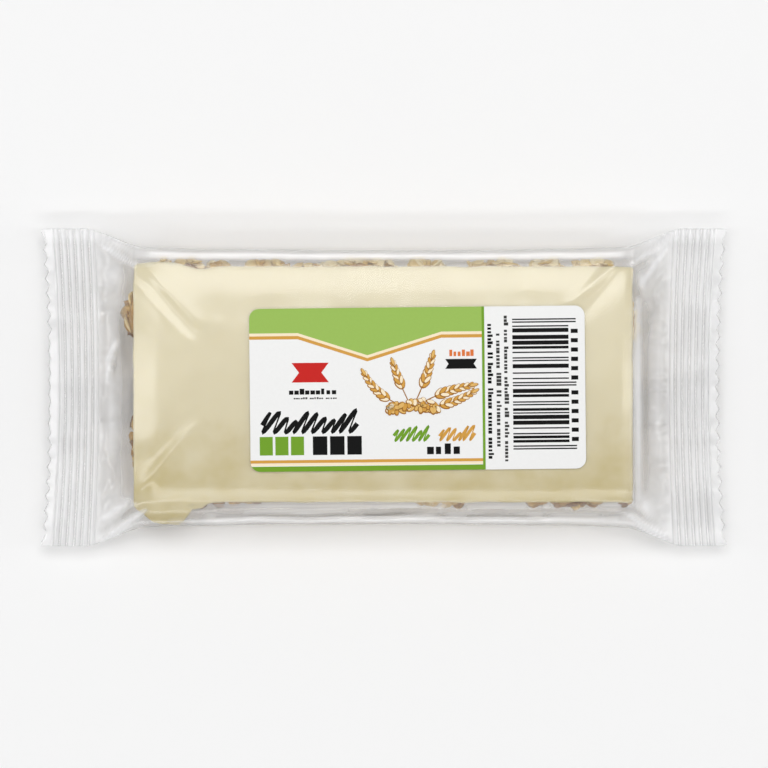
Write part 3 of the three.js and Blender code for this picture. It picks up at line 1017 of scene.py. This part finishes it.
def printFields(bm):
    top, bottom, left, divider, footGold, footGreen, r = (fields[part] for part in (
        "top", "bottom", "left", "divider", "footGold", "footGreen", "corner"))
    inkShape(bm, "leafGreen", [(divider, top), *cornerArc(left + r, top - r, 90), *bandEdge(0)])
    cream = fields["creamLine"]
    for ink, start, end in (("cream", 0.0, cream), ("gold", cream, cream + fields["goldLine"])):
        upper, lower = bandEdge(start), bandEdge(end)
        for i in range(len(upper) - 1):
            inkShape(bm, ink, [lower[i], lower[i + 1], upper[i + 1], upper[i]])
    goldLow = footGold - fields["footGoldWidth"]
    beside, above, below = fields["footGap"]
    inkBar(bm, "gold", left, goldLow, divider, footGold)
    inkBar(bm, "cream", left + beside, footGreen + below, divider, goldLow - above)
    arc = [p for p in cornerArc(left + r, bottom + r, 180) if p[1] < footGreen]
    start = left + r - math.sqrt(r * r - (bottom + r - footGreen) ** 2)
    inkShape(bm, "deepGreen", [(start, footGreen), *arc, (divider, bottom), (divider, footGreen)])
    inkBar(bm, "deepGreen", divider, bottom, divider + fields["dividerWidth"], top)


def printBlocks(bm, rng, ink, x, y, run, block, perGroup=None):
    # Rows of small blocks in groups. A row with no fixed number to a group runs up the label.
    at = 0.0
    width, height = block
    while at < run - width:
        for _ in range(perGroup or rng.randint(2, 8)):
            if at > run - width:
                break
            w = width * rng.uniform(0.55, 0.9)
            h = height * rng.choice((0.7, 0.7, 1.0))
            if perGroup:
                inkBar(bm, ink, x + at, y, x + at + w, y + h)
            else:
                inkBar(bm, ink, x, y + at, x + h, y + at + w)
            at += width
        at += width * 0.9


stripes = {"left": 20.45, "right": 32.5, "guardRight": 34.1, "low": -13.3, "high": 14.8,
           "modules": 95}


def printStripes(bm, rng):
    # a stack of stripes of random widths, with longer pairs at its ends and middle
    module = (stripes["high"] - stripes["low"]) / stripes["modules"]
    middle = stripes["modules"] // 2
    for guard in (0, middle - 1, stripes["modules"] - 3):
        for at in (guard, guard + 2):
            low = stripes["low"] + at * module
            inkBar(bm, "black", stripes["left"], low, stripes["guardRight"], low + module)
    for start, end in ((5, middle - 3), (middle + 4, stripes["modules"] - 5)):
        at = start
        while at < end:
            wide = min(rng.choice((1, 1, 2, 2, 3, 4)), end - at)
            low = stripes["low"] + at * module
            inkBar(bm, "black", stripes["left"], low, stripes["right"], low + wide * module)
            at += wide + rng.choice((1, 1, 2, 2, 3))


def inkGrain(bm, inner, x, y, length, width, degrees, level):  # a grain or flake with a darker rim
    inkOval(bm, "bran", x, y, length, width, degrees, level)
    inkOval(bm, inner, x + 0.06 * width, y + 0.08 * width, length * 0.8, width * 0.7, degrees,
            level + 1)


ear = {
    "bareSteps": 4,  # of the stem, below the grains
    "step": 0.5,  # this and the lengths below are shares of the ear's size
    "stem": 0.12, "grain": (1.15, 0.52), "tip": (1.0, 0.4),
    "reach": 0.46,  # of a grain's middle from the stem
    "fade": 0.4,  # how much smaller the last grains are
    "splay": 34,  # degrees between the stem and the way to a grain
    "lean": 24,  # and between the stem and a grain
    "inks": ("straw", "cream", "straw", "gold"),
}


def printEar(bm, x, y, degrees, bend, grains, size):  # a bent stem with paired grains
    stem = [(x, y)]
    heading = math.radians(degrees)
    for _ in range(grains + ear["bareSteps"]):
        heading += bend
        stem.append(pointFrom(*stem[-1], heading, size * ear["step"]))
    inkStroke(bm, "bran", stem, [size * ear["stem"]] * len(stem))
    for i in range(ear["bareSteps"], len(stem)):
        (x0, y0), (x1, y1) = stem[i - 1], stem[i]
        along = math.atan2(y1 - y0, x1 - x0)
        small = size * (1 - ear["fade"] * (i - ear["bareSteps"]) / grains)
        length, width = (small * share for share in ear["grain"])
        for side in (-1, 1):
            way = along + side * math.radians(ear["splay"])
            place = pointFrom(x1, y1, way, ear["reach"] * small)
            inkGrain(bm, ear["inks"][(i * 2 + side) % 4], *place, length, width,
                     math.degrees(along) + side * ear["lean"], level=2 + 2 * (i % 3))
    length, width = (size * share for share in ear["tip"])
    inkGrain(bm, "straw", *pointFrom(x1, y1, along, size * ear["step"]), length, width,
             math.degrees(along), level=8)


def makePrint():  # places are in millimetres from the label's middle
    rng = random.Random(7)
    bm = bmesh.new()
    printFields(bm)
    printStripes(bm, rng)
    for row in (("black", 15.1, -15.2, 30.0, (0.78, 1.15)),
                ("grey", 16.95, -12.6, 25.2, (0.78, 1.05)),
                ("grey", 18.65, -15.8, 32.0, (0.74, 0.95))):
        printBlocks(bm, rng, *row)
    for i in range(12):  # plain blocks beside the stripes, in two groups
        at = -11.6 + 2.0 * i + (1.2 if i > 5 else 0)
        inkBar(bm, "black", 33.0, at, 34.5, at + 0.9)
    # a red pennant, with two rows of blocks under it
    inkShape(bm, "red", [(-27.0, 1.6), (-19.0, 1.6), (-20.6, 3.7), (-19.0, 5.8), (-27.0, 5.8),
                         (-25.4, 3.7)])
    printBlocks(bm, rng, "black", -27.6, -1.0, 10.6, (1.15, 1.25), perGroup=9)
    printBlocks(bm, rng, "grey", -26.6, -2.0, 9.6, (0.5, 0.42), perGroup=6)
    # a scrawl across the left half, and two rows of larger blocks
    inkScrawl(bm, "black", -33.4, -9.2, 20.4, 6.0, 10, 1.05)
    for ink, start, pitch in (("deepGreen", -34.0, 3.35), ("black", -22.6, 3.7)):
        for left in (start, start + pitch, start + 2 * pitch):
            inkBar(bm, ink, left, -14.0, left + pitch * 0.84, -10.0)
    # ears of oats, as (x, y, heading, bend, pairs of grains, size), over a heap of loose flakes
    for row in ((-2.6, -3.8, 166, -0.07, 7, 2.0), (-1.6, -3.4, 118, -0.02, 5, 2.0),
                (-0.8, -3.4, 62, 0.02, 6, 2.1), (0.2, -3.4, 30, -0.03, 7, 2.1),
                (1.0, -4.0, 0, 0.045, 7, 2.0)):
        printEar(bm, *row)
    for i in range(64):
        along = rng.uniform(-1, 1)
        high = rng.uniform(0, 1) * math.sqrt(1 - along * along)
        ink = rng.choice(("straw", "gold", "straw", "cream"))
        inkGrain(bm, ink, -0.8 + 5.6 * along, -4.9 + 2.7 * high, rng.uniform(1.3, 2.1),
                 rng.uniform(0.9, 1.3), rng.uniform(0, 180), level=10 + (i % 4) * 2)
    # a dark pennant with a row above it, then two scrawls and a row below the heap
    inkShape(bm, "black", [(6.0, 4.2), (12.8, 4.2), (12.1, 5.25), (12.8, 6.3), (6.0, 6.3),
                           (6.7, 5.25)], level=5)
    printBlocks(bm, rng, "orange", 6.9, 6.9, 5.6, (0.9, 1.4), perGroup=6)
    for ink, x in (("deepGreen", -5.2), ("gold", 4.6)):
        inkScrawl(bm, ink, x, -11.2, 7.6, 4.4, 6, 0.7)
    printBlocks(bm, rng, "black", 1.9, -14.1, 10.6, (1.9, 2.3), perGroup=4)
    layOnFilm(bm)
    papers = [labelPaper("printed" + name[0].upper() + name[1:], value, *labelLook["ink"])
              for name, value in inks.items()]
    finishPiece("labelPrint", bm, papers, mergeGap=0.00001, smooth=False)


filmMaterial = clearFilm("clearPolypropyleneFilm", clearFilmLook["bodyFaces"])
finMaterial = clearFilm("sealedPolypropyleneFin", clearFilmLook["finFaces"])
oatMaterial = bakedOats("bakedOatFlakes", oatLook["flake"])
slabMaterial = bakedOats("bakedOatBinder", oatLook["binder"])

makeOatSlab(slabMaterial)
makeOatFlakes(oatMaterial)
makeCoating(yogurtCoating())
makeFilm(filmMaterial)
makeFinSeal(finMaterial)
makeLabel(labelPaper("stickerPaper", *labelLook["paper"]))
makePrint()


# Floor, light and camera

studio = {
    "floor": "#F3F3F3",
    "floorRoughness": 0.9, "floorShine": 0.1,
    "floorHalf": 3.0,  # metres
    "floorDrop": 0.05 * mm, "camera": (0, 0.00071, 0.9306), "lens": 200, "sensor": 36,
    "clip": (0.05, 20),
}


def makeFloor():
    material, add, _ = newMaterial("mattPaperFloor")  # studio paper: pale, hardly any shine
    shader = add("BsdfPrincipled", {
        "Base Color": toLinear(studio["floor"]), "Roughness": studio["floorRoughness"],
        "Specular IOR Level": studio["floorShine"]})
    add("OutputMaterial", {"Surface": shader})
    bm = bmesh.new()
    bmesh.ops.create_grid(bm, x_segments=1, y_segments=1, size=studio["floorHalf"])
    bmesh.ops.translate(bm, vec=(0, 0, -studio["floorDrop"]), verts=bm.verts)
    floor = intoScene("floor", bm, [material])


# Soft boxes, as place, size across and along (metres), and watts
softBoxes = {
    "far": ((0.0, 0.30, 0.87), (0.60, 0.34), 3.72),
    "near": ((0.0, -0.50, 0.80), (0.9, 0.12), 2.0),
    "left": ((-0.50, 0.0, 0.80), (0.12, 0.7), 1.55),
    "right": ((0.60, 0.0, 0.76), (0.12, 0.7), 1.4),
    "lowLeft": ((-1.1, 0.1, 0.40), (0.7, 0.1), 1.5),
    "lowRight": ((1.1, -0.1, 0.40), (0.7, 0.1), 1.5),
}
# How bright the room is, from the horizon up to straight overhead
roomLight = [(0.0, 0.8), (0.15, 0.7), (0.4, 0.16), (1.0, 0.1)]


def makeLight():
    for name, (place, (across, along), watts) in softBoxes.items():
        lamp = bpy.data.lights.new("softBox" + name[0].upper() + name[1:], "AREA")
        lamp.shape = "RECTANGLE"
        lamp.size, lamp.size_y = across, along
        lamp.energy = watts
        holder = bpy.data.objects.new(lamp.name, lamp)
        holder.location = place
        holder.rotation_euler = (-Vector(place)).to_track_quat("-Z", "Y").to_euler()
        holder.visible_camera = False
        bpy.context.scene.collection.objects.link(holder)
    world = bpy.data.worlds.new("paleStudio")
    world.use_nodes = True
    world.node_tree.nodes.clear()
    add = partial(addNode, world.node_tree)
    towards = add("TexCoord").outputs["Generated"]
    height = add("SeparateXYZ", {"Vector": towards})
    glow = add("ValToRGB", {"Fac": height.outputs["Z"]}, stops=roomLight)
    backdrop = add("Background", {"Color": glow})
    add("OutputWorld", {"Surface": backdrop})
    bpy.context.scene.world = world


def makeCamera():
    lens = bpy.data.cameras.new("overhead")
    lens.lens = studio["lens"]
    lens.sensor_width = studio["sensor"]
    lens.clip_start, lens.clip_end = studio["clip"]
    camera = bpy.data.objects.new("overhead", lens)
    camera.location = studio["camera"]
    bpy.context.scene.collection.objects.link(camera)
    bpy.context.scene.camera = camera


makeFloor()
makeLight()
makeCamera()
bpy.context.scene.view_settings.view_transform = "Standard"
print("studio ready")
